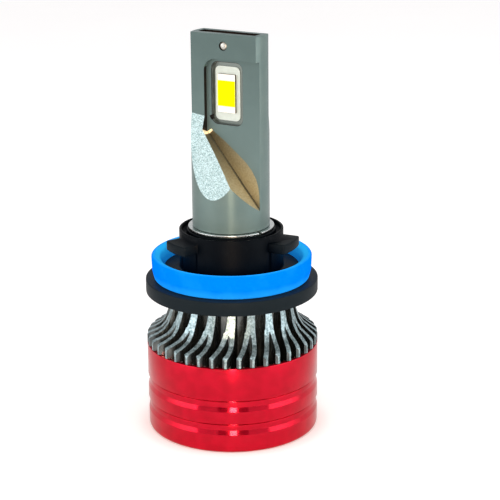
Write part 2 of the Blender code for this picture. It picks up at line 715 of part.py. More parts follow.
def recess_cutter():
    """Takes the recessed flat out of the flat, down to the leaf's wall, which twists as it rises outwards."""
    feet = (RECESS_LEFT, -1.5, 1.0, 3.5, 6.3, 9.0)
    corner = (RECESS_LEFT + RECESS_CORNER_R, RECESS_TOP - RECESS_CORNER_R)
    outline = [(x, wall_foot(x)) for x in feet]
    outline.append((feet[-1], RECESS_TOP))
    outline += arc(corner, RECESS_CORNER_R, 90, 180, 4)
    depth = 8.0
    cutter = plate("recess_cutter", [outline], RECESS_N, RECESS_N + depth, upright=True)
    for vert in cutter.data.vertices:
        x = vert.co.x / MM
        on_wall = abs(vert.co.y / MM - wall_foot(x)) < 0.01
        if on_wall and vert.co.z > 0.0:
            vert.co.y += between(WALL_RISE, x) * depth * MM
    return cutter


def leaf_cutter():
    """The shallow leaf beside the wall: a hollow that is deepest at the wall's foot."""
    mesh = bpy.data.meshes.new("leaf_cutter")
    shape = bmesh.new()
    stations = 12
    start, end = LEAF_WIDTHS[0][0], LEAF_WIDTHS[-1][0]
    across = Vector((-WALL_SLOPE, 0.0, 1.0)).normalized()
    lift = Vector((0.0, -0.4, 0.0))
    rows = []
    for step in range(stations + 1):
        x = start + (end - start) * step / stations
        width = between(LEAF_WIDTHS, x)
        foot = Vector((x, -RECESS_N, wall_foot(x)))
        deep = foot + Vector((0.0, LEAF_DEPTH * min(1.0, width), 0.0))
        edge = foot + across * width
        rows.append([shape.verts.new(point * MM) for point in (deep, edge, edge + lift, foot + lift)])
    for first, second in zip(rows, rows[1:]):
        for side in range(4):
            other = (side + 1) % 4
            shape.faces.new((first[side], first[other], second[other], second[side]))
    shape.faces.new(rows[0])
    shape.faces.new(reversed(rows[-1]))
    bmesh.ops.recalc_face_normals(shape, faces=shape.faces)
    shape.to_mesh(mesh)
    shape.free()
    return hide_cutter(place(bpy.data.objects.new("leaf_cutter", mesh), "leaf_cutter", CUTTERS, None))


def window_cutter():
    outline = rounded_rectangle(*WINDOW_X, *WINDOW_Z, WINDOW_CORNER_R, 3)
    return plate("window_cutter", [outline], SLOT_HALF_N - 0.2, FLAT_N + 0.5, upright=True)


def build_post():
    profile = [(PILOT_R, TOTAL_HEIGHT), (POST_R - 0.25, TOTAL_HEIGHT), (POST_R, TOTAL_HEIGHT - 0.25),
               (POST_R, RING_GROOVE_Z[1]), (RING_GROOVE_R, RING_GROOVE_Z[1]),
               (RING_GROOVE_R, RING_GROOVE_Z[0]), (POST_R, RING_GROOVE_Z[0]),
               (POST_R, SEAL_GROOVE_Z[1]), (SEAL_GROOVE_R, SEAL_GROOVE_Z[1]),
               (SEAL_GROOVE_R, SEAL_GROOVE_Z[0]), (POST_R, SEAL_GROOVE_Z[0]),
               (POST_R, SHOULDER_Z), (SPIGOT_R, SHOULDER_Z), (SPIGOT_R, POST_BOTTOM),
               (WIRE_BORE_R, POST_BOTTOM), (WIRE_BORE_R, WIRE_BORE_TOP), (PILOT_R, WIRE_BORE_TOP)]
    post = turned("lamp_post", profile, ROUND_STEPS, GREY_METAL)
    for make in (slope_cutter, recess_cutter, leaf_cutter, window_cutter):
        front = make()
        cut(post, front, half_turn(front, front.name + "_back"))
    slot_low, high = WIRE_BORE_TOP - 0.6, TOTAL_HEIGHT + 1
    mouth_x = SLOT_HALF_X + 0.1
    cut(post, pin_hole("pin_hole", PIN_R + 0.12),
        box("slot_mouth", (-mouth_x, -SLOT_MOUTH_N, SLOT_MOUTH_Z), (mouth_x, SLOT_MOUTH_N, high)),
        box("slot", (-SLOT_HALF_X, -SLOT_HALF_N, slot_low), (SLOT_HALF_X, SLOT_HALF_N, high + 1)))


def pin_hole(name, radius):
    return plate(name, [circle(radius, TINY_STEPS, (0.0, PIN_Z))], -4.0, 4.0, upright=True)


def build_post_hardware():
    pin = plate("post_pin", [circle(PIN_R, TINY_STEPS, (0.0, PIN_Z))], -2.12, 2.12, STEEL, upright=True)
    soften = pin.modifiers.new("Edges", "BEVEL")
    soften.width = 0.12 * MM
    soften.segments = 1
    gap, ring_out, ring_in = 2.2, 7.83, RING_GROOVE_R + PLAY
    start, end = 73.4 - 90 + gap, 73.4 - 90 + 360 - gap
    outline = arc((0, 0), ring_out, start, end, 40) + arc((0, 0), ring_in, end, start, 40)
    plate("snap_ring", [outline], 37.9, 38.3, STEEL)
    middle = sum(SEAL_GROOVE_Z) / 2
    section = [(6.75 - 0.45 * math.cos(math.tau * k / 8), middle + 0.45 * math.sin(math.tau * k / 8))
               for k in range(8)]
    turned("post_o_ring", section, SMALL_STEPS, RUBBER)


def build_light_source():
    core = box("core_plate", (-PLATE_HALF_X, -PLATE_HALF_N, PLATE_Z[0]),
               (PLATE_HALF_X, PLATE_HALF_N, PLATE_Z[1]), COPPER)
    cut(core, pin_hole("plate_hole", PIN_R + 0.1))
    board = rounded_rectangle(-LED_HALF_X, LED_HALF_X, *LED_Z, LED_CORNER_R, 4)
    emitter = rounded_rectangle(-EMITTER_HALF_X, EMITTER_HALF_X, *EMITTER_Z, 0.12, 1)
    phosphor = rounded_rectangle(-PHOSPHOR_HALF_X, PHOSPHOR_HALF_X, *PHOSPHOR_Z, 0.05, 1)
    pieces = (("led_board", board, LED_N, CERAMIC), ("led_emitter", emitter, EMITTER_N, WHITE_PLASTIC),
              ("led_phosphor", phosphor, PHOSPHOR_N, YELLOW))
    for name, outline, (low, high), material in pieces:
        front = plate(f"{name}_front", [outline], low, high, material, upright=True)
        half_turn(front, f"{name}_back")


clear_scene()
PARTS = make_collection("headlight_bulb")
CUTTERS = make_collection("cutters")

RED = make_material("red anodised aluminium", (0.66, 0.014, 0.04), 0.75, 0.28)
BLUE = make_material("blue silicone", (0.0, 0.22, 0.93), 0.0, 0.42)
BLACK_COAT = make_material("black coated metal", (0.018, 0.022, 0.024), 0.3, 0.5)
GREY_METAL = make_material("grey machined aluminium", (0.25, 0.3, 0.29), 0.95, 0.38)
ALUMINIUM = make_material("bright machined aluminium", (0.72, 0.78, 0.78), 0.95, 0.3)
STEEL = make_material("bright steel", (0.7, 0.72, 0.72), 1.0, 0.28)
DARK_STEEL = make_material("black painted steel", (0.03, 0.03, 0.032), 0.2, 0.5)
COPPER = make_material("copper", (0.42, 0.17, 0.09), 1.0, 0.4)
BRONZE = make_material("sintered bronze", (0.45, 0.3, 0.14), 0.9, 0.5)
CERAMIC = make_material("warm white ceramic", (0.8, 0.79, 0.7), 0.0, 0.45)
WHITE_PLASTIC = make_material("white plastic", (0.9, 0.9, 0.88), 0.0, 0.5)
YELLOW = make_material("yellow phosphor", (0.95, 0.9, 0.02), 0.0, 0.5)
BLACK_PLASTIC = make_material("black plastic", (0.02, 0.02, 0.022), 0.0, 0.45)
CIRCUIT_GREEN = make_material("green circuit board", (0.02, 0.16, 0.06), 0.0, 0.4)
FERRITE = make_material("grey ferrite", (0.07, 0.07, 0.075), 0.1, 0.6)
RUBBER = make_material("black rubber", (0.02, 0.02, 0.02), 0.0, 0.7)
RED_WIRE = make_material("red wire insulation", (0.55, 0.02, 0.02), 0.0, 0.45)
BLACK_WIRE = make_material("black wire insulation", (0.02, 0.02, 0.02), 0.0, 0.45)

build_red_shell()
build_rear_grille()
build_grille_screws()
build_cable_grommet()
build_fan_frame()
build_fan_motor()
build_impeller()
build_rotor()
build_driver()
build_supply_wires()
build_heat_sink()
build_adapter()
build_seal_ring()
build_post()
build_post_hardware()
build_light_source()
shade_round_faces(PARTS.objects)
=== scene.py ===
"""The looks of an LED headlight bulb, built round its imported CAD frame.

The bulb's axis is +Z through the origin, and its front light emitting face looks along -Y. Heights and radii
come from the frame's boxes where it has them; the rest are named below, in millimetres (MM makes metres).
"""
import math

import bmesh
import bpy
from mathutils import Matrix, Vector


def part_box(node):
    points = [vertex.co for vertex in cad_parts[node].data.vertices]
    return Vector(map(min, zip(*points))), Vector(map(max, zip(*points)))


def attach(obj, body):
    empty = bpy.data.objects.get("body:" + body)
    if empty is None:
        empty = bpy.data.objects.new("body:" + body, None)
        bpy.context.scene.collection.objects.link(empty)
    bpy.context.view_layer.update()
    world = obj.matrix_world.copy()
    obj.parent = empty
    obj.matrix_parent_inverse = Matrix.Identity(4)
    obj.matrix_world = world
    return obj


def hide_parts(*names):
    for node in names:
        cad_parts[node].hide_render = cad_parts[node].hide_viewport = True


MM = 0.001
STEPS = 160                  # sides of a large turned piece

# the post
FLAT_N = 2.19                # distance of a flat from the bulb's middle plane
RECESS_N = 1.35
SLOPE = (-0.129, -2.764, 63.92)  # z = a * x + b * n + c, n being the distance out from the middle plane
RECESS_LEFT = -4.0
RECESS_TOP = 68.8
RECESS_CORNER = 2.2
WALL_FOOT = (-1.221, 50.47)  # the foot of the leaf's wall, on the recessed flat: z = a * x + b
WALL_RISE = ((-4.0, 0.42), (3.5, 0.14), (6.3, 0.2))  # how steeply the wall rises outwards, along x
LEAF_WIDTHS = ((-3.95, 1.05), (-3.1, 1.4), (-2.0, 1.95), (0.4, 2.8), (1.65, 3.2), (2.7, 3.25),
               (3.8, 3.0), (4.7, 2.4), (5.6, 1.5), (6.4, 0.5), (6.7, 0.1))  # along x
LEAF_DEPTH = 0.3
CLEAR_Z = 76                 # above the post, where a cutting tool is clear of it
# the leaf's bright bar is a painted highlight
BAR_RUN = 70.75              # how far up the leaf its bright bar starts: run = -slope * z - x
WINDOW = (-2.9, 3.4, 57.05, 68.2)  # left, right, low, high
WINDOW_CORNER = 1.25
WINDOW_FLOOR = 0.3           # distance of the window's floor from the middle plane
REBATE = 0.09                # width and depth of the step round the window
RELIEF = (-2.9, 58.15, 0.42)  # x, z and half width of the square relief in the window's corner
SLOT_X = 5.75
SLOT_N = 0.53                # half the slot's width
SLOT_BOTTOM = 40.6
MOUTH_N = 1.05               # the slot's wider mouth
MOUTH_Z = 72.3
PIN_Z = 71.2
PIN_HOLE_R = 0.8
PILOT_R = 0.4
WIRE_BORE = (2.6, 41.2)      # radius, top
SPIGOT_R = 5.0               # the post's thin lower end
POST_STEP_Z = 26.03          # where it starts
RING_GROOVE = (6.6, 37.82, 38.38)  # radius, low, high
O_RING_GROOVE = (6.2, 31.4, 32.8)
PIN_DOME = ((0.0, 0.0), (0.4, 0.03), (0.6, 0.1), (0.7, 0.2), (0.74, 0.35))  # radius, drop
RING_R = (6.75, 7.83)
RING_CUT = (73.4, 2.2)       # the cut's direction in degrees, and half its width in degrees

# the light source
BOARD_Z = (57.65, 67.4)
BOARD_N = (0.52, 0.68)
EMITTER_X = 1.8
EMITTER_Z = (59.15, 66.05)
EMITTER_N = (0.7, 1.15)
BAND_X = 1.78
BAND_Z = (60.3, 64.9)
BAND_N = (1.16, 1.2)

# the adapter
FLANGE_TOP = 28.5
FLANGE_EXTRA = 0.2           # how much lower the flange reaches than the adapter's middle
FLANGE_STEP_R = (12.2, 12.0)  # where its underside steps up to the adapter's middle
HUB = (12.4, 30.6)           # radius, top
COLLAR_R = 9.5
TRENCH_R = (8.1, 9.05)
TRENCH_Z = (36.9, 37.75)     # its floor, and the seat of the split ring inside it
BORE_R = 7.3
LUG_Z = (34.8, 36.6)
LUG_SIDE = 3.4               # half width of a lug with parallel sides
LUG_SLANT = (2.3, 2.7)       # the narrower side of the left lug, at the collar and outside
LUG_REACH = 12.5
LUG_ROOT = 8.8               # inside the collar, so that the two join
SEAL_INNER = ((12.7, 31.4), (13.05, 32.45))  # radius and height of the seal ring's inner slope

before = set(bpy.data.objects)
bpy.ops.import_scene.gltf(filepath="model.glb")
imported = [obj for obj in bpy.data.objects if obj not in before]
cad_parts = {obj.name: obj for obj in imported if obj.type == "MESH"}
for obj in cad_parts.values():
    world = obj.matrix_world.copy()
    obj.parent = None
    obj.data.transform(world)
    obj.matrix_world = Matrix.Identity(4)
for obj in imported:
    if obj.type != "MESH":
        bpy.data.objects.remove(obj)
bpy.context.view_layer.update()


def span(node, axis=2):
    """The lowest and highest value of a CAD node along an axis, in millimetres."""
    low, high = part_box(node)
    return low[axis] / MM, high[axis] / MM


# ------------------------------------------------------------------ outlines
def around(radius, degrees):
    """A point on a circle, its angle measured from the front (-Y) towards +X."""
    angle = math.radians(degrees)
    return (radius * math.sin(angle), -radius * math.cos(angle))


def arc(centre, radius, start, end, steps):
    points = []
    for step in range(steps + 1):
        angle = math.radians(start + (end - start) * step / steps)
        points.append((centre[0] + radius * math.cos(angle), centre[1] + radius * math.sin(angle)))
    return points


def rounded_rectangle(x0, x1, y0, y1, radius, steps=8):
    corners = ((x1 - radius, y0 + radius, 270), (x1 - radius, y1 - radius, 0),
               (x0 + radius, y1 - radius, 90), (x0 + radius, y0 + radius, 180))
    points = []
    for x, y, start in corners:
        points += arc((x, y), radius, start, start + 90, steps)
    return points


def soften(points, cut, steps=3, keep=()):
    """A closed outline with each corner rounded from cut before it to cut after it."""
    result = []
    for index, point in enumerate(points):
        here = Vector(point)
        before = Vector(points[index - 1]) - here
        after = Vector(points[(index + 1) % len(points)]) - here
        reach = min(cut, before.length * 0.45, after.length * 0.45)
        if index in keep or reach < 0.01:
            result.append(tuple(here))
            continue
        start = here + before.normalized() * reach
        end = here + after.normalized() * reach
        for step in range(steps + 1):
            part = step / steps
            result.append(tuple(start * (1 - part) ** 2 + here * 2 * part * (1 - part) + end * part ** 2))
    return result


def value_at(points, x):
    """A value read from a list of (x, value) points joined by straight lines."""
    for (x0, y0), (x1, y1) in zip(points, points[1:]):
        if x <= x1:
            part = max(0.0, min(1.0, (x - x0) / (x1 - x0)))
            return y0 + (y1 - y0) * part
    return points[-1][1]


# ------------------------------------------------------------------ meshes
def make_object(name, shape, materials=()):
    mesh = bpy.data.meshes.new(name)
    shape.to_mesh(mesh)
    shape.free()
    obj = bpy.data.objects.new(name, mesh)
    bpy.context.scene.collection.objects.link(obj)
    for material in materials:
        mesh.materials.append(material)
    return obj


def shade(obj, degrees=35):
    """Smooth shading, but sharp at edges over the given angle and wherever two finishes meet."""
    mesh = obj.data
    mesh.shade_smooth()
    mesh.set_sharp_from_angle(angle=math.radians(degrees))
    if len(mesh.materials) > 1:
        shape = bmesh.new()
        shape.from_mesh(mesh)
        for edge in shape.edges:
            if len({face.material_index for face in edge.link_faces}) > 1:
                edge.smooth = False
        shape.to_mesh(mesh)
        shape.free()
    return obj


def lathe(name, profile, steps=STEPS, closed=True, materials=()):
    """A turned piece from a profile of (radius, height)."""
    shape = bmesh.new()
    verts = [shape.verts.new((radius * MM, 0.0, height * MM)) for radius, height in profile]
    pairs = list(zip(verts, verts[1:])) + ([(verts[-1], verts[0])] if closed else [])
    edges = [shape.edges.new(pair) for pair in pairs]
    bmesh.ops.spin(shape, geom=verts + edges, cent=(0, 0, 0), axis=(0, 0, 1), dvec=(0, 0, 0),
                   angle=math.tau, steps=steps, use_merge=True)
    bmesh.ops.remove_doubles(shape, verts=shape.verts, dist=1e-7)
    bmesh.ops.recalc_face_normals(shape, faces=shape.faces)
    return shade(make_object(name, shape, materials))


def slab(name, outline, low, high, materials=(), upright=False, edge=0.0):
    """A flat outline made thick; upright, it stands in x and z and its thickness runs along -Y."""
    shape = bmesh.new()
    floor = [shape.verts.new((x * MM, y * MM, low * MM)) for x, y in outline]
    face = shape.faces.new(floor)
    made = bmesh.ops.extrude_face_region(shape, geom=[face])
    lifted = [item for item in made["geom"] if isinstance(item, bmesh.types.BMVert)]
    bmesh.ops.translate(shape, verts=lifted, vec=(0, 0, (high - low) * MM))
    if upright:
        bmesh.ops.transform(shape, matrix=Matrix.Rotation(math.pi / 2, 4, "X"), verts=shape.verts)
    bmesh.ops.recalc_face_normals(shape, faces=shape.faces)
    obj = shade(make_object(name, shape, materials))
    if edge:
        bevel(obj, edge)
    return obj


def bevel(obj, width, segments=3, degrees=40):
    rounding = obj.modifiers.new("Edges", "BEVEL")
    rounding.width = width * MM
    rounding.segments = segments
    rounding.limit_method = "ANGLE"
    rounding.angle_limit = math.radians(degrees)
    rounding.harden_normals = True
    return obj


def block(name, low, high, materials=(), edge=0.0):
    return slab(name, [(low[0], low[1]), (high[0], low[1]), (high[0], high[1]), (low[0], high[1])],
                low[2], high[2], materials, edge=edge)


def settle(obj):
    """Apply all of an object's modifiers to its mesh."""
    evaluated = obj.evaluated_get(bpy.context.evaluated_depsgraph_get())
    mesh = bpy.data.meshes.new_from_object(evaluated)
    obj.modifiers.clear()
    old = obj.data
    obj.data = mesh
    bpy.data.meshes.remove(old)
    return obj


def carve(obj, tools, operation="DIFFERENCE"):
    """Cut tools out of an object, or join them on, and remove them.

    New faces keep the tools' materials. Edges without length that a cut leaves are dissolved.
    """
    for tool in tools:
        step = obj.modifiers.new(tool.name, "BOOLEAN")
        step.operation = operation
        step.solver = "EXACT"
        step.material_mode = "TRANSFER"
        step.object = tool
    bpy.context.view_layer.update()
    settle(obj)
    shape = bmesh.new()
    shape.from_mesh(obj.data)
    bmesh.ops.dissolve_degenerate(shape, dist=1e-7, edges=shape.edges)
    shape.to_mesh(obj.data)
    shape.free()
    for tool in tools:
        bpy.data.objects.remove(tool, do_unlink=True)
    return obj


def half_turned(obj):
    """A copy of an object on the bulb's other side."""
    copy = obj.copy()
    copy.data = obj.data.copy()
    bpy.context.scene.collection.objects.link(copy)
    copy.data.transform(Matrix.Rotation(math.pi, 4, "Z") @ obj.matrix_world)
    copy.matrix_world = Matrix.Identity(4)
    return copy


# ------------------------------------------------------------------ materials
def tree_of(name):
    material = bpy.data.materials.new(name)
    material.use_nodes = True
    return material, material.node_tree


def add(tree, kind, **values):
    """A shader node. Values that are sockets are linked, and settings start with a small letter."""
    node = tree.nodes.new("ShaderNode" + kind)
    for key, value in values.items():
        if key[0].islower():
            setattr(node, key, value)
    for key, value in values.items():
        if key[0].islower():
            continue
        numbered = key[0] == "I" and key[1:].isdigit()
        socket = node.inputs[int(key[1:]) if numbered else key.replace("_", " ")]
        if isinstance(value, bpy.types.NodeSocket):
            tree.links.new(value, socket)
        else:
            socket.default_value = value
    return node


def millimetres(tree, stretch=(1, 1, 1)):
    """Object coordinates in millimetres, squeezed or stretched."""
    place = add(tree, "TexCoord").outputs["Object"]
    scale = tuple(1000 * part for part in stretch)
    return add(tree, "Mapping", Vector=place, Scale=scale).outputs["Vector"]


def blend_colour(tree, share, first, second):
    mix = tree.nodes.new("ShaderNodeMix")
    mix.data_type = "RGBA"
    for socket, value in ((mix.inputs[0], share), (mix.inputs[6], first), (mix.inputs[7], second)):
        if isinstance(value, bpy.types.NodeSocket):
            tree.links.new(value, socket)
        else:
            socket.default_value = (*value, 1.0) if isinstance(value, tuple) else value
    return mix.outputs[2]


def spread(tree, value, low, high, out_low=0.0, out_high=1.0):
    return add(tree, "MapRange", Value=value, From_Min=low, From_Max=high,
               To_Min=out_low, To_Max=out_high).outputs["Result"]


def noise(tree, scale, detail=3.0, rough=0.5, stretch=(1, 1, 1)):
    """Noise whose lumps are about 1 / scale millimetres across."""
    return add(tree, "TexNoise", Vector=millimetres(tree, stretch), Scale=scale, Detail=detail,
               Roughness=rough).outputs["Fac"]


def bump(tree, height, strength, depth):
    return add(tree, "Bump", Height=height, Strength=strength, Distance=depth * MM).outputs["Normal"]


def from_axis(tree):
    """The distance from the Z axis, in millimetres."""
    level = add(tree, "VectorMath", operation="MULTIPLY", I0=millimetres(tree), I1=(1, 1, 0)).outputs[0]
    return add(tree, "VectorMath", operation="LENGTH", I0=level).outputs["Value"]


def surface(name, colour, other, metallic, rough, grain, mottle=0.6, depth=0.01, strength=0.5,
            stretch=(1, 1, 1), coat=0.0, turned=0.0, shine=0.5, painted_glow=None, painted_shading=None):
    """A finish with two mottled colours, a roughness range and a fine grain in its relief.

    Turned metal has fine rings round the axis that draw its highlights out upright. Painted shading says
    where the first colour gives way to the second, along Z or outwards from the axis, as painted light and
    shade; a painted glow gives the finish an even light of its own.
    """
    material, tree = tree_of(name)
    shader = tree.nodes["Principled BSDF"]
    patches = noise(tree, mottle, 4.0)
    fine = noise(tree, grain, 4.0, 0.6, stretch)
    share = spread(tree, patches, 0.35, 0.65)
    # painted shade: the first colour gives way to the second along Z or outwards, standing in for uneven
    # light
    if painted_shading:
        way, first_end, second_end = painted_shading
        if way == "up":
            where = add(tree, "SeparateXYZ", Vector=millimetres(tree)).outputs["Z"]
        else:
            where = from_axis(tree)
        painted_shading_share = spread(tree, where, first_end, second_end)
        little = spread(tree, share, 0, 1, -0.06, 0.06)
        share = add(tree, "Math", operation="ADD", I0=painted_shading_share, I1=little).outputs[0]
    mixed = blend_colour(tree, share, colour, other)
    tree.links.new(mixed, shader.inputs["Base Color"])
    tree.links.new(spread(tree, fine, 0.3, 0.7, rough[0], rough[1]), shader.inputs["Roughness"])
    tree.links.new(bump(tree, fine, strength, depth), shader.inputs["Normal"])
    shader.inputs["Metallic"].default_value = metallic
    shader.inputs["Coat Weight"].default_value = coat
    shader.inputs["Specular IOR Level"].default_value = shine
    if turned:
        ring = add(tree, "Tangent", direction_type="RADIAL", axis="Z").outputs["Tangent"]
        tree.links.new(ring, shader.inputs["Tangent"])
        shader.inputs["Anisotropic"].default_value = turned
        shader.inputs["Anisotropic Rotation"].default_value = 0.25
    # painted light: an even glow on a part that is no lamp
    if painted_glow:
        shader.inputs["Emission Color"].default_value = (*painted_glow, 1.0)
        shader.inputs["Emission Strength"].default_value = 1.0
    return material


def shot_blasted(name):
    """Bright metal with a coarse, sparkling blasted grain."""
    material, tree = tree_of(name)
    shader = tree.nodes["Principled BSDF"]
    grains = add(tree, "TexVoronoi", Vector=millimetres(tree), Scale=8.0).outputs["Color"]
    shade_of_grain = add(tree, "SeparateXYZ", Vector=grains).outputs["X"]
    fine = noise(tree, 10.0, 3.0, 0.7)
    speck = add(tree, "Math", operation="ADD", I0=shade_of_grain, I1=fine).outputs[0]
    mixed = blend_colour(tree, spread(tree, speck, 0.5, 1.5), (0.21, 0.34, 0.365), (0.68, 0.85, 0.89))
    tree.links.new(mixed, shader.inputs["Base Color"])
    tree.links.new(bump(tree, speck, 0.5, 0.035), shader.inputs["Normal"])
    shader.inputs["Metallic"].default_value = 0.8
    shader.inputs["Roughness"].default_value = 0.5
    return material


def leaf_painted_light(name):
    """Brushed metal whose warm tone is a painted reflection, with painted shade where the leaf starts, a
    glowing painted highlight bar and a painted shade line in its crease.
    """
    material, tree = tree_of(name)
    shader = tree.nodes["Principled BSDF"]
    place = add(tree, "SeparateXYZ", Vector=millimetres(tree))
    height = place.outputs["Z"]
    side = add(tree, "Math", operation="SIGN", I0=place.outputs["Y"]).outputs[0]
    across = add(tree, "Math", operation="MULTIPLY", I0=place.outputs["X"], I1=side).outputs[0]
    fall = add(tree, "Math", operation="MULTIPLY_ADD", I0=across, I1=WALL_FOOT[0], I2=height).outputs[0]
    offset = add(tree, "Math", operation="SUBTRACT", I0=fall, I1=WALL_FOOT[1] + 0.02).outputs[0]
    # painted shade: a near black line along the crease at the wall's foot
    crease_painted_shade = spread(tree, add(tree, "Math", operation="ABSOLUTE", I0=offset).outputs[0], 0.006, 0.032)
    run = add(tree, "Math", operation="MULTIPLY_ADD", I0=height, I1=-WALL_FOOT[0], I2=across).outputs[0]
    # painted highlight: a bright, glowing bar where the leaf starts
    painted_highlight_bar = spread(tree, run, BAR_RUN, BAR_RUN + 0.2)
    brushed = noise(tree, 4.5, 3.0, 0.75, (0.9, 0.3, 0.65))
    # painted reflection: the warm tone stands in for warm light on the metal, and painted shade darkens it
    # towards the leaf's start
    painted_warm_reflection = blend_colour(tree, spread(tree, brushed, 0.3, 0.7), (0.36, 0.3, 0.165), (0.51, 0.46, 0.29))
    painted_shade_tone = blend_colour(tree, spread(tree, brushed, 0.3, 0.7), (0.085, 0.075, 0.043), (0.145, 0.13, 0.076))
    coloured = blend_colour(tree, spread(tree, height, 56.0, 46.0), painted_shade_tone, painted_warm_reflection)
    lit = blend_colour(tree, painted_highlight_bar, coloured, (1.0, 0.9, 0.68))
    tree.links.new(blend_colour(tree, crease_painted_shade, (0.012, 0.01, 0.008), lit), shader.inputs["Base Color"])
    tree.links.new(spread(tree, painted_highlight_bar, 0, 1, 0.0, 0.5), shader.inputs["Emission Strength"])
    tree.links.new(bump(tree, brushed, 0.5, 0.02), shader.inputs["Normal"])
    shader.inputs["Emission Color"].default_value = (1.0, 0.72, 0.38, 1.0)
    shader.inputs["Metallic"].default_value = 0.4
    shader.inputs["Roughness"].default_value = 0.5
    return material


def plated_core(name):
    """A copper plate with grey plated faces and bare brown edges, both kept dark as painted shade deep in the
    post's slot.
    """
    material, tree = tree_of(name)
    shader = tree.nodes["Principled BSDF"]
    depth = add(tree, "SeparateXYZ", Vector=add(tree, "TexCoord").outputs["Normal"]).outputs["Y"]
    facing = add(tree, "Math", operation="ABSOLUTE", I0=depth).outputs[0]
    patches = noise(tree, 1.3, 4.0)
    bare = blend_colour(tree, patches, (0.07, 0.028, 0.018), (0.16, 0.065, 0.04))
    plated = blend_colour(tree, patches, (0.16, 0.19, 0.18), (0.2, 0.23, 0.22))
    coloured = blend_colour(tree, spread(tree, facing, 0.4, 0.7), bare, plated)
    tree.links.new(coloured, shader.inputs["Base Color"])
    tree.links.new(bump(tree, patches, 0.4, 0.02), shader.inputs["Normal"])
    shader.inputs["Metallic"].default_value = 0.8
    shader.inputs["Roughness"].default_value = 0.45
    return material


def phosphor_with_painted_glow(name, colour, painted_glow):
    """The phosphor: even, strongly coloured, with a fine powdery grain and a painted glow in its own colour.
    """
    material, tree = tree_of(name)
    shader = tree.nodes["Principled BSDF"]
    powder = noise(tree, 14.0, 2.0)
    mixed = blend_colour(tree, powder, colour, tuple(part * 0.94 for part in colour))
    tree.links.new(mixed, shader.inputs["Base Color"])
    shader.inputs["Roughness"].default_value = 0.6
    shader.inputs["Specular IOR Level"].default_value = 0.02
    shader.inputs["Emission Color"].default_value = (*colour, 1.0)
    shader.inputs["Emission Strength"].default_value = painted_glow
    return material


def emitter_finish(name):
    """White on the emitter's face, dark brown on its sides."""
    material, tree = tree_of(name)
    shader = tree.nodes["Principled BSDF"]
    depth = add(tree, "SeparateXYZ", Vector=add(tree, "TexCoord").outputs["Normal"]).outputs["Y"]
    facing = add(tree, "Math", operation="ABSOLUTE", I0=depth).outputs[0]
    grain = noise(tree, 12.0)
    white = blend_colour(tree, grain, (0.95, 0.95, 0.93), (0.88, 0.88, 0.86))
    tree.links.new(blend_colour(tree, spread(tree, facing, 0.6, 0.8), (0.035, 0.012, 0.01), white),
                   shader.inputs["Base Color"])
    shader.inputs["Roughness"].default_value = 0.45
    return material


RED = surface("red_anodised", (0.56, 0.001, 0.019), (0.67, 0.002, 0.025), metallic=0.82,
              rough=(0.14, 0.2), grain=8.0, mottle=0.5, depth=0.0012, strength=0.6,
              stretch=(0.06, 0.06, 1.0), coat=0.13, turned=0.8)
# painted light: the seal is lighter blue on its inner face and inner top, darker outside, with a faint
# painted glow
BLUE = surface("blue_silicone", (0.03, 0.54, 0.95), (0.0, 0.165, 0.96), metallic=0.0, rough=(0.35, 0.5),
               grain=3.0, mottle=0.3, depth=0.006, strength=0.4, shine=0.0, painted_glow=(0.0, 0.06, 0.3),
               painted_shading=("out", 13.9, 14.6))
# painted shade: the adapter is darkest on its collar and lighter out on its flange, where more light falls
BLACK = surface("black_adapter", (0.0004, 0.0016, 0.0036), (0.009, 0.015, 0.02), metallic=0.0,
                rough=(0.35, 0.5), grain=5.0, mottle=0.5, depth=0.02, strength=0.6, shine=0.06,
                painted_shading=("out", 10.0, 15.0))
FIN = surface("machined_fins", (0.17, 0.25, 0.27), (0.5, 0.64, 0.69), metallic=0.8, rough=(0.22, 0.5),
              grain=7.0, mottle=2.2, depth=0.03, strength=0.9)
# painted shade: the fins' sides and the core between them are a darker copy of the fin metal, for the shade
# deep between fins
FIN_SIDE_SHADE = surface("fin_sides_painted_shade", (0.09, 0.105, 0.11), (0.17, 0.19, 0.195), metallic=0.95,
                   rough=(0.2, 0.36), grain=1.6, mottle=0.5, depth=0.03, strength=0.5,
                   stretch=(1.0, 1.0, 0.12))
# painted shade: near black walls inside the post's slot and pin hole
SLOT_SHADE = surface("slot_walls_painted_shade", (0.022, 0.025, 0.026), (0.045, 0.048, 0.05), metallic=0.8,
                    rough=(0.4, 0.6), grain=2.0)
# painted shade: the flats darken upwards and are lighter low down, where more light falls
FLAT = surface("grey_flat", (0.14, 0.21, 0.218), (0.085, 0.132, 0.136), metallic=0.2, rough=(0.4, 0.5),
               grain=5.0, mottle=0.3, depth=0.006, strength=0.4, stretch=(0.25, 1.0, 1.0), shine=0.15,
               painted_shading=("up", 46.0, 72.0))
CYLINDER = surface("grey_turned", (0.138, 0.206, 0.205), (0.155, 0.222, 0.218), metallic=0.32,
                   rough=(0.32, 0.42), grain=4.0, mottle=0.3, depth=0.006, strength=0.4,
                   stretch=(0.08, 0.08, 1.0), turned=0.8, shine=0.25)
BLASTED = shot_blasted("blasted_slope")
# painted shade: near black with a warm tint, on the recess's left wall, the step round the window and the
# slot's mouth
STEP_SHADE = surface("step_painted_shade", (0.012, 0.008, 0.006), (0.03, 0.018, 0.012), metallic=0.6, rough=(0.3, 0.45),
               grain=2.0, mottle=0.8, depth=0.01, strength=0.4, stretch=(1.0, 1.0, 0.1))
POCKET_WALL = surface("pocket_walls", (0.13, 0.16, 0.155), (0.2, 0.24, 0.235), metallic=0.7,
                      rough=(0.35, 0.5), grain=4.0)
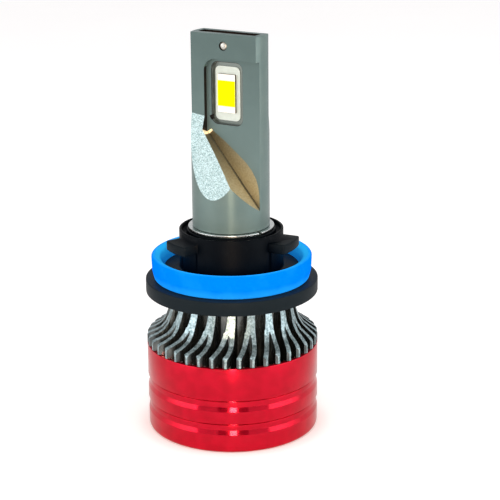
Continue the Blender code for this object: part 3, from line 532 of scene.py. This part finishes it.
# painted shade: the small relief hole in the window's corner is near black
RELIEF_SHADE = surface("relief_hole_painted_shade", (0.004, 0.004, 0.004), (0.008, 0.008, 0.008), metallic=0.0,
               rough=(0.6, 0.8), grain=4.0)
LEAF = leaf_painted_light("leaf_painted_light")
STEEL = surface("bright_steel", (0.68, 0.72, 0.72), (0.8, 0.82, 0.82), metallic=1.0, rough=(0.16, 0.3),
                grain=3.0, mottle=0.6, depth=0.01, strength=0.4)
COPPER = plated_core("copper_plate")
# painted light: the white board has a faint painted glow
CERAMIC = surface("white_ceramic", (0.58, 0.67, 0.66), (0.53, 0.61, 0.6), metallic=0.0, rough=(0.35, 0.5),
                  grain=6.0, mottle=1.2, depth=0.006, strength=0.4, painted_glow=(0.03, 0.045, 0.045))
PIN_STEEL = surface("pin_steel", (0.42, 0.43, 0.41), (0.62, 0.63, 0.6), metallic=0.75, rough=(0.35, 0.5),
                    grain=3.0, mottle=1.5, depth=0.015, strength=0.6)
EMITTER = emitter_finish("emitter_body")
# painted light: the phosphor glows in its own colour
YELLOW = phosphor_with_painted_glow("yellow_phosphor", (1.0, 1.0, 0.0), 0.4)
BLACK_STEEL = surface("black_steel", (0.02, 0.02, 0.022), (0.032, 0.032, 0.034), metallic=0.3,
                      rough=(0.35, 0.55), grain=4.0)
FAN_PLASTIC = surface("fan_plastic", (0.018, 0.018, 0.02), (0.026, 0.026, 0.028), metallic=0.0,
                      rough=(0.3, 0.5), grain=5.0)
RUBBER = surface("black_rubber", (0.02, 0.02, 0.02), (0.03, 0.03, 0.03), metallic=0.0, rough=(0.6, 0.8),
                 grain=4.0)
BOARD = surface("circuit_board", (0.01, 0.12, 0.05), (0.015, 0.17, 0.07), metallic=0.0,
                rough=(0.25, 0.45), grain=1.5)
FERRITE = surface("ferrite", (0.06, 0.06, 0.065), (0.1, 0.1, 0.105), metallic=0.1, rough=(0.5, 0.7),
                  grain=3.0)
BRONZE = surface("sintered_bronze", (0.4, 0.26, 0.12), (0.5, 0.34, 0.17), metallic=0.9, rough=(0.45, 0.6),
                 grain=6.0)
WINDING = surface("copper_winding", (0.5, 0.19, 0.08), (0.62, 0.26, 0.12), metallic=0.9,
                  rough=(0.25, 0.4), grain=2.0, mottle=0.6, depth=0.05, strength=0.8,
                  stretch=(0.1, 0.1, 3.0))
WHITE = surface("white_plastic", (0.85, 0.84, 0.8), (0.9, 0.89, 0.86), metallic=0.0, rough=(0.35, 0.5),
                grain=4.0)
RED_WIRE = surface("red_insulation", (0.55, 0.02, 0.02), (0.62, 0.03, 0.03), metallic=0.0,
                   rough=(0.3, 0.45), grain=4.0)
BLACK_WIRE = surface("black_insulation", (0.02, 0.02, 0.02), (0.03, 0.03, 0.03), metallic=0.0,
                     rough=(0.3, 0.45), grain=4.0)


def finish_piece(obj, body, slot, *nodes):
    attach(obj, body)
    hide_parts(*nodes)
    return obj


# ------------------------------------------------------------------ casing
GROOVE_TOPS = (10.05, 5.6)
GROOVE = ((0, 0), (0.5, 0.03), (0.5, 0.26), (0.3, 0.3), (0.3, 1.3), (0.03, 2.2), (0.03, 2.35))  # depth, drop


def red_shell():
    low, high = span("red_shell")
    radius = span("red_shell", 0)[1]
    lip_top, lip_r, inner = 0.9, radius - 1.35, radius - 0.8
    profile = [(inner, high), (radius, high)]
    for top in GROOVE_TOPS:
        profile += [(radius - depth, top - drop) for depth, drop in GROOVE]
    profile += [(radius - 0.05, 0.6), (radius - 0.16, 0.25), (radius - 0.5, low), (lip_r, low),
                (lip_r, lip_top), (inner, lip_top)]
    shell = lathe("red_shell_visual", soften(profile, 0.06, 2), 200, materials=[RED])
    inlet_z = sum(span("cable_grommet")) / 2
    hole = lathe("inlet_hole", [(0, 0), (1.95, 0), (1.95, 6), (0, 6)], 48, False)
    place = Matrix.Translation((0, 12 * MM, inlet_z * MM))
    hole.data.transform(place @ Matrix.Rotation(-math.pi / 2, 4, "X"))
    carve(shell, [hole])
    finish_piece(shade(shell), "housing", "red_anodised", "red_shell")


# ------------------------------------------------------------------ adapter
LUGS = {"right": 95.4, "left": -22.6, "back": 215.4}


def lug(name):
    high = LUG_SLANT if name == "left" else (LUG_SIDE, LUG_SIDE)
    low_angle = math.degrees(math.asin(LUG_SIDE / LUG_REACH))
    high_angle = math.degrees(math.asin(high[1] / LUG_REACH))
    tip = arc((0, 0), LUG_REACH, -low_angle, high_angle, 10)
    made = slab("lug_" + name, [(LUG_ROOT, -LUG_SIDE)] + tip + [(LUG_ROOT, high[0])], *LUG_Z, [BLACK])
    bevel(made, 0.28, 3, 50)
    settle(made)
    made.data.transform(Matrix.Rotation(math.radians(LUGS[name] - 90), 4, "Z"))
    return made


def adapter():
    bottom, top = span("adapter_base")
    flange_r = span("adapter_base", 0)[1]
    hub_r, hub_top = HUB
    floor_z, seat_z = TRENCH_Z
    low = bottom - FLANGE_EXTRA
    profile = [(BORE_R, seat_z), (TRENCH_R[0], seat_z), (TRENCH_R[0], floor_z), (TRENCH_R[1], floor_z),
               (TRENCH_R[1], top), (COLLAR_R, top), (COLLAR_R, hub_top), (hub_r, hub_top),
               (hub_r, FLANGE_TOP), (flange_r, FLANGE_TOP), (flange_r, low), (FLANGE_STEP_R[0], low),
               (FLANGE_STEP_R[1], bottom), (BORE_R, bottom)]
    base = lathe("adapter_visual", soften(profile, 0.22), materials=[BLACK])
    carve(base, [lug(name) for name in LUGS], "UNION")
    finish_piece(shade(base, 40), "collar", "black_plastic", "adapter_base")


def seal_ring():
    bottom, top = span("seal_ring")
    outer = span("seal_ring", 0)[1]
    profile = [*SEAL_INNER, (outer - 0.45, top), (outer, top - 0.3), (outer - 0.1, bottom + 1.6),
               (outer - 0.5, bottom), (SEAL_INNER[0][0], bottom)]
    ring = lathe("seal_ring_visual", soften(profile, 0.35, 5), materials=[BLUE])
    finish_piece(ring, "collar", "blue_silicone", "seal_ring")


# ------------------------------------------------------------------ heat sink
SHOULDER = ((11.0, 26.0), (11.2, 24.8), (11.5, 23.4), (11.9, 21.9), (12.4, 20.6), (13.2, 19.5), (14.2, 18.8),
            (15.1, 18.25), (15.55, 18.0), (15.8, 17.6))
TRUNKS = 20
TRUNK_START = 31.4
TRUNK_LEFT = ((9.7, -3.9), (10.4, -3.6), (11.1, -3.7), (11.6, -4.8), (12.0, -6.6))
TRUNK_RIGHT = ((9.7, 3.9), (10.4, 3.5), (11.1, 3.2), (11.6, 2.5), (12.0, 1.8))
BRANCH_WIDTH = 0.78
CORE_R = 9.4
CROTCH_R = 12.2
CROTCH_LEAN = -3.0
TIP_R = 15.8
LEFT_LEAN = ((12.0, -5.0), (12.4, -6.3), (13.1, -8.2), (14.25, -10.7), (15.4, -13.4), (16.1, -15.1))
RIGHT_LEAN = ((12.0, -0.2), (12.4, -0.2), (13.2, -0.9), (14.1, -2.0), (14.9, -3.3), (15.4, -4.5),
              (16.1, -6.4))
ROOT_LEAN = 5.6              # degrees from a trunk's middle to where it leaves the core
SHELL_FIT_R = 14.8           # the sink where it sits in the shell
DRIVER_POCKET = ((8.6, 11.25), (7.9, 15.4))  # radius and top of its two steps
NECK = (2.6, 5.15, 16.55)    # the wires' hole, the post's seat, and the height where they meet
FIN_LEDGE_Z = 16.2


def lean_point(trunk, leans, radius):
    return Vector(around(radius, trunk + value_at(leans, radius)))


def branch_side(trunk, leans, radii, side):
    """Points along one side of a branch that leaves its trunk and swirls out past the sink's rim."""
    points = []
    for radius in radii:
        here = lean_point(trunk, leans, radius)
        ahead = (lean_point(trunk, leans, radius + 0.3) - lean_point(trunk, leans, radius - 0.3)).normalized()
        points.append(tuple(here + Vector((-ahead.y, ahead.x)) * side * BRANCH_WIDTH / 2))
    return points


def fins_outline():
    """The plan of the core and its forked fins, one closed loop with filleted roots and crotches."""
    outline = []
    radii = [12.25 + 0.27 * step for step in range(14)]
    inner = [radius for radius in radii if radius > CROTCH_R + 0.3]
    root_gap = 180 / TRUNKS
    for number in range(TRUNKS):
        trunk = TRUNK_START + 360 / TRUNKS * number
        low_side, high_side = [[around(radius, trunk + lean) for radius, lean in side]
                               for side in (TRUNK_LEFT, TRUNK_RIGHT)]
        outline.append(around(CORE_R, trunk - ROOT_LEAN))
        outline += low_side
        outline += branch_side(trunk, LEFT_LEAN, radii, -1)
        outline += branch_side(trunk, LEFT_LEAN, reversed(inner), 1)
        outline.append(around(CROTCH_R, trunk + CROTCH_LEAN - 0.5))
        outline.append(around(CROTCH_R, trunk + CROTCH_LEAN + 0.5))
        outline += branch_side(trunk, RIGHT_LEAN, inner, -1)
        outline += branch_side(trunk, RIGHT_LEAN, reversed(radii), 1)
        outline += reversed(high_side)
        outline.append(around(CORE_R, trunk + ROOT_LEAN))
        outline.append(around(CORE_R, trunk + root_gap))
    return outline


def tool_marks(profile, pitch, depth):
    """A profile with the shallow steps that a coarse cut leaves, its ends kept."""
    result = [profile[0]]
    number = 0
    for first, second in zip(profile, profile[1:]):
        run = Vector(second) - Vector(first)
        out = Vector((-run.y, run.x)).normalized()
        count = max(1, round(run.length / pitch))
        for step in range(count):
            number += 1
            middle = Vector(first) + run * (step + 0.5) / count
            result.append(tuple(middle - out * depth * (number % 2)))
    return result + [profile[-1]]


def heat_sink():
    bottom, top = span("heat_sink")
    # painted shade: the blank's sides keep the darker fin side finish
    blank = slab("heat_sink_visual", fins_outline(), bottom - 1, top + 1, [FIN_SIDE_SHADE])
    shoulder = tool_marks(list(SHOULDER), 0.22, 0.015)
    (pocket_r, ledge_z), (upper_r, pocket_top) = DRIVER_POCKET
    hole_r, seat_r, seat_z = NECK
    envelope = ([(seat_r, top)] + shoulder
                + [(TIP_R, FIN_LEDGE_Z), (SHELL_FIT_R, FIN_LEDGE_Z), (SHELL_FIT_R, bottom),
                   (pocket_r, bottom), (pocket_r, ledge_z), (upper_r, ledge_z), (upper_r, pocket_top),
                   (hole_r, pocket_top), (hole_r, seat_z), (seat_r, seat_z)])
    turned = lathe("sink_envelope", envelope, 120, materials=[FIN])
    turned.data.transform(Matrix.Rotation(0.04, 4, "Z"))
    carve(blank, [turned], "INTERSECT")
    shade(blank, 28)
    finish_piece(blank, "housing", "machined_aluminium", "heat_sink")


# ------------------------------------------------------------------ post
def paint_faces(obj, test, index):
    for polygon in obj.data.polygons:
        if test(polygon):
            polygon.material_index = index
    return obj


def front_tool():
    """Clears the front down to the flat, and to the slope that runs from the flat's end out to the round."""
    reach = span("lamp_post", 0)[1] + 4
    shape = bmesh.new()
    rings = []
    for x in (-10.0, 10.0):
        corners = [(n, SLOPE[0] * x + SLOPE[1] * n + SLOPE[2]) for n in (FLAT_N, reach)]
        corners += [(reach, CLEAR_Z), (FLAT_N, CLEAR_Z)]
        rings.append([shape.verts.new((x * MM, -n * MM, z * MM)) for n, z in corners])
    for index in range(4):
        other = (index + 1) % 4
        shape.faces.new((rings[0][index], rings[0][other], rings[1][other], rings[1][index]))
    shape.faces.new(rings[0])
    shape.faces.new(list(reversed(rings[1])))
    bmesh.ops.recalc_face_normals(shape, faces=shape.faces)
    tool = make_object("front_tool", shape, [FLAT, BLASTED])
    return paint_faces(tool, lambda face: face.normal.z < -0.1 and abs(face.normal.x) < 0.9, 1)


def wall_foot(x):
    return WALL_FOOT[0] * x + WALL_FOOT[1]


def recess_tool():
    """Clears the recessed flat, down to the leaf's wall, which twists as it rises outwards."""
    right, depth, strips = 9.0, 8.0, 26
    foot = [RECESS_LEFT + (right - RECESS_LEFT) * step / strips for step in range(strips + 1)]
    corner = (RECESS_LEFT + RECESS_CORNER, RECESS_TOP - RECESS_CORNER)
    outline = [(x, wall_foot(x)) for x in foot] + [(right, RECESS_TOP)]
    outline += arc(corner, RECESS_CORNER, 90, 180, 16)
    tool = slab("recess_tool", outline, RECESS_N, RECESS_N + depth, [FLAT, LEAF, STEP_SHADE], upright=True)
    for vert in tool.data.vertices:
        x, n, z = vert.co.x / MM, -vert.co.y / MM, vert.co.z / MM
        if n > RECESS_N + 1 and abs(z - wall_foot(x)) < 0.01:
            vert.co.z += value_at(WALL_RISE, x) * depth * MM
    tool.data.update()
    paint_faces(tool, lambda face: face.normal.z < -0.3 and abs(face.normal.y) < 0.9, 1)
    # the leaf's wall takes the leaf's finish, and the recess's left wall the painted shade of the step
    return paint_faces(tool, lambda face: face.normal.x < -0.7 and abs(face.normal.z) < 0.3, 2)


def leaf_tool():
    """The shallow leaf beside the wall, deepest along the wall's foot."""
    shape = bmesh.new()
    stations = 48
    across = Vector((-WALL_FOOT[0], 0.0, 1.0)).normalized()
    left, right = LEAF_WIDTHS[0][0], LEAF_WIDTHS[-1][0]
    rows = []
    for step in range(stations + 1):
        x = left + (right - left) * step / stations
        width = value_at(LEAF_WIDTHS, x)
        foot = Vector((x, -RECESS_N, wall_foot(x)))
        row = []
        for part in (0.0, 0.25, 0.5, 0.75, 1.0):
            row.append(foot + across * width * part + Vector((0, LEAF_DEPTH * (1 - part) ** 1.3, 0)))
        lift = Vector((0.0, -0.5, 0.0))
        above_wall = Vector((0, 0, 0.5 * value_at(WALL_RISE, x) + 0.03))
        row += [foot + across * width + lift, foot + lift + above_wall]
        rows.append([shape.verts.new(point * MM) for point in row])
    for first, second in zip(rows, rows[1:]):
        for side in range(7):
            other = (side + 1) % 7
            shape.faces.new((first[side], first[other], second[other], second[side]))
    shape.faces.new(rows[0])
    shape.faces.new(list(reversed(rows[-1])))
    bmesh.ops.recalc_face_normals(shape, faces=shape.faces)
    return make_object("leaf_tool", shape, [LEAF])


def light_window():
    """The pocket in the recessed flat that holds the light emitting board, and its small corner relief."""
    clear = 3.0
    pocket = slab("window", rounded_rectangle(*WINDOW, WINDOW_CORNER), WINDOW_FLOOR, clear, [POCKET_WALL],
                  upright=True)
    left, right, low, high = WINDOW
    wider = rounded_rectangle(left - REBATE, right + REBATE, low - REBATE, high + REBATE,
                              WINDOW_CORNER + REBATE)
    # painted shade: the step round the window shows as a dark line
    rebate = slab("rebate", wider, RECESS_N - REBATE, clear, [STEP_SHADE], upright=True)
    x, z, half = RELIEF
    square = rounded_rectangle(-half, half, -half, half, 0.08)
    # painted shade: the relief's walls are near black
    relief = slab("relief", square, 0.7, clear, [RELIEF_SHADE], upright=True)
    place = Matrix.Translation((x * MM, 0, z * MM))
    relief.data.transform(place @ Matrix.Rotation(math.radians(-35), 4, "Y"))
    return pocket, rebate, relief


def post():
    bottom, top = span("lamp_post")
    radius = span("lamp_post", 0)[1]
    ring_r, ring_low, ring_high = RING_GROOVE
    seal_r, seal_low, seal_high = O_RING_GROOVE
    bore_r, bore_top = WIRE_BORE
    profile = [(PILOT_R, top), (radius, top), (radius, ring_high), (ring_r, ring_high), (ring_r, ring_low),
               (radius, ring_low), (radius, seal_high), (seal_r, seal_high), (seal_r, seal_low),
               (radius, seal_low), (radius, POST_STEP_Z), (SPIGOT_R, POST_STEP_Z), (SPIGOT_R, bottom),
               (bore_r, bottom), (bore_r, bore_top), (PILOT_R, bore_top)]
    body = lathe("post_visual", soften(profile, 0.08, 2), materials=[CYLINDER])
    for make in (front_tool, recess_tool, leaf_tool):
        front = make()
        carve(body, [front, half_turned(front)])
    for part in light_window():
        carve(body, [part, half_turned(part)])
    # painted shade: the pin hole, the slot's mouth and the slot are cut with near black walls
    pin_hole = slab("pin_hole", arc((0, PIN_Z), PIN_HOLE_R, 0, 350, 35), -4, 4, [SLOT_SHADE], upright=True)
    mouth = block("mouth", (-SLOT_X - 0.1, -MOUTH_N, MOUTH_Z), (SLOT_X + 0.1, MOUTH_N, 75), [STEP_SHADE])
    slot = block("slot", (-SLOT_X, -SLOT_N, SLOT_BOTTOM), (SLOT_X, SLOT_N, CLEAR_Z), [SLOT_SHADE])
    carve(body, [pin_hole, mouth, slot])
    shade(body, 25)
    finish_piece(body, "housing", "grey_aluminium", "lamp_post")


def pin():
    reach = -span("post_pin", 1)[0]
    dome = [(radius, reach - drop) for radius, drop in PIN_DOME]
    profile = dome + [(r, -n) for r, n in reversed(dome)]
    made = lathe("post_pin_visual", profile, 32, False, [PIN_STEEL])
    made.data.transform(Matrix.Translation((0, 0, PIN_Z * MM)) @ Matrix.Rotation(math.pi / 2, 4, "X"))
    finish_piece(made, "housing", "bright_steel", "post_pin")


def snap_ring():
    low, high = span("snap_ring")
    cut, gap = RING_CUT
    start, end = cut - 90 + gap, cut - 90 + 360 - gap
    outline = arc((0, 0), RING_R[1], start, end, 120) + arc((0, 0), RING_R[0], end, start, 120)
    ring = slab("snap_ring_visual", outline, low, high, [STEEL], edge=0.12)
    finish_piece(ring, "housing", "bright_steel", "snap_ring")


# ------------------------------------------------------------------ light source
def light_source():
    half_x = span("led_board_front", 0)[1]
    for side in ("front", "back"):
        turn = Matrix.Rotation(0 if side == "front" else math.pi, 4, "Z")
        plate = rounded_rectangle(-half_x, half_x, *BOARD_Z, 0.95)
        board = slab(f"led_board_{side}_visual", plate, *BOARD_N, [CERAMIC], upright=True, edge=0.05)
        raised = rounded_rectangle(-EMITTER_X, EMITTER_X, *EMITTER_Z, 0.1)
        emitter = slab(f"led_emitter_{side}_visual", raised, *EMITTER_N, [EMITTER], upright=True,
                       edge=0.04)
        band = rounded_rectangle(-BAND_X, BAND_X, *BAND_Z, 0.06)
        phosphor = slab(f"led_phosphor_{side}_visual", band, *BAND_N, [YELLOW], upright=True,
                        edge=0.015)
        pairs = ((board, "white_ceramic", "led_board_"), (emitter, "white_plastic", "led_emitter_"),
                 (phosphor, "yellow_phosphor", "led_phosphor_"))
        for piece, slot_name, node in pairs:
            piece.data.transform(turn)
            finish_piece(piece, "housing", slot_name, node + side)


# ------------------------------------------------------------------ carried-over CAD nodes
def dress(names, material, edge=0.08):
    """A CAD node that keeps its shape gets a material, and its sharp edges a small rounding."""
    for name in names:
        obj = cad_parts[name]
        obj.data.materials.clear()
        obj.data.materials.append(material)
        weld = obj.modifiers.new("Weld", "WELD")
        weld.merge_threshold = 1e-6
        bevel(obj, edge, 2, 30)


def carried_over():
    dress(["rear_grille"], BLACK_STEEL, 0.12)
    dress(["fan_frame", "fan_impeller"], FAN_PLASTIC, 0.1)
    dress(["grille_screw_1", "grille_screw_2", "grille_screw_3", "fan_shaft", "shaft_clip", "fan_stator",
           "board_screw_1", "board_screw_2", "driver_capacitor_1", "driver_capacitor_2"], STEEL, 0.04)
    dress([f"fan_coil_{number}" for number in (1, 2, 3, 4)], WINDING, 0.15)
    dress(["fan_bearing"], BRONZE, 0.04)
    dress(["fan_board", "driver_board"], BOARD, 0.05)
    dress(["fan_magnet_ring", "driver_inductor"], FERRITE, 0.1)
    dress(["driver_chip"], FAN_PLASTIC, 0.03)
    dress(["lead_connector"], WHITE, 0.08)
    dress(["supply_wire_1"], RED_WIRE, 0.05)
    dress(["supply_wire_2"], BLACK_WIRE, 0.05)
    dress(["cable_grommet", "post_o_ring"], RUBBER, 0.1)
    dress(["core_plate"], COPPER, 0.1)


# ------------------------------------------------------------------ stage
def add_camera():
    """The view from the front right, a little above the bulb, through a long lens."""
    azimuth, distance, height = 31.44, 273.4, 117.87
    pitch, roll = 16.83, -0.63
    data = bpy.data.cameras.new("camera")
    data.lens = 112.6
    data.sensor_width = 36.0
    data.shift_x = 0.0372
    data.shift_y = -0.0194
    camera = bpy.data.objects.new("camera", data)
    bpy.context.scene.collection.objects.link(camera)
    x, y = around(distance, azimuth)
    turn = (Matrix.Rotation(math.radians(azimuth), 4, "Z") @ Matrix.Rotation(math.radians(90 - pitch), 4, "X")
            @ Matrix.Rotation(math.radians(roll), 4, "Z"))
    camera.matrix_world = Matrix.Translation((x * MM, y * MM, height * MM)) @ turn
    bpy.context.scene.camera = camera


def add_area_light(name, azimuth, elevation, distance, size, power, colour=(1, 1, 1)):
    data = bpy.data.lights.new(name, "AREA")
    data.shape = "RECTANGLE"
    data.size, data.size_y = size[0] * MM, size[1] * MM
    data.energy = power
    data.color = colour
    light = bpy.data.objects.new(name, data)
    bpy.context.scene.collection.objects.link(light)
    x, y = around(distance * math.cos(math.radians(elevation)), azimuth)
    place = Vector((x, y, distance * math.sin(math.radians(elevation)) + 35)) * MM
    light.matrix_world = (Matrix.Translation(place)
                          @ (Vector((0, 0, 35 * MM)) - place).to_track_quat("-Z", "Y").to_matrix().to_4x4())
    return light


def add_flag(name, azimuth, distance, size):
    """A black card out of the camera's sight, for the dark bands on turned metal."""
    shape = bmesh.new()
    bmesh.ops.create_grid(shape, x_segments=1, y_segments=1, size=0.5)
    flag = make_object(name, shape, [RUBBER])
    x, y = around(distance, azimuth)
    flag.matrix_world = (Matrix.Translation((x * MM, y * MM, size[1] / 2 * MM))
                         @ Matrix.Rotation(math.radians(azimuth), 4, "Z")
                         @ Matrix.Rotation(math.pi / 2, 4, "X")
                         @ Matrix.Diagonal((size[0] * MM, size[1] * MM, 1, 1)))
    flag.visible_camera = False
    flag.visible_shadow = False


def add_stage():
    shape = bmesh.new()
    bmesh.ops.create_grid(shape, x_segments=1, y_segments=1, size=3.0)
    floor_material, tree = tree_of("white_table")
    shader = tree.nodes["Principled BSDF"]
    grain = noise(tree, 0.02)
    pale = blend_colour(tree, grain, (0.9, 0.9, 0.9), (0.86, 0.86, 0.86))
    tree.links.new(pale, shader.inputs["Base Color"])
    shader.inputs["Roughness"].default_value = 0.9
    shader.inputs["Emission Color"].default_value = (1, 0.96, 0.965, 1)
    seen = add(tree, "LightPath").outputs["Is Camera Ray"]
    # Near the bulb's foot the camera-only glow fades out, painting a darker ring of shade round the foot on
    # top of the real contact shadow.
    contact_shade_fade = spread(tree, from_axis(tree), 12.5, 18.5)
    lift = add(tree, "Math", operation="MULTIPLY", I0=seen, I1=contact_shade_fade).outputs[0]
    tree.links.new(spread(tree, lift, 0, 1, 0.0, 0.38), shader.inputs["Emission Strength"])
    floor = make_object("floor", shape, [floor_material])
    world = bpy.data.worlds.new("studio")
    world.use_nodes = True
    bpy.context.scene.world = world
    sky = world.node_tree.nodes["Background"]
    sky.inputs["Color"].default_value = (1, 1, 1, 1)
    sky.inputs["Strength"].default_value = 0.62
    view = 31.4
    add_area_light("top_light", 30, 80, 500, (350, 350), 0.5)
    add_area_light("left_light", view - 72, 10, 450, (420, 240), 0.7)
    add_area_light("right_light", view + 72, 10, 450, (420, 240), 0.7)
    add_area_light("front_light", view, 12, 330, (50, 170), 0.7, (1.0, 0.76, 0.54))
    add_flag("back_card", view, 420, (300, 330))
    add_flag("left_flag", view - 128, 260, (60, 260))
    bpy.context.scene.view_settings.view_transform = "Standard"


add_camera()
add_stage()
red_shell()
adapter()
seal_ring()
heat_sink()
post()
pin()
snap_ring()
light_source()
carried_over()
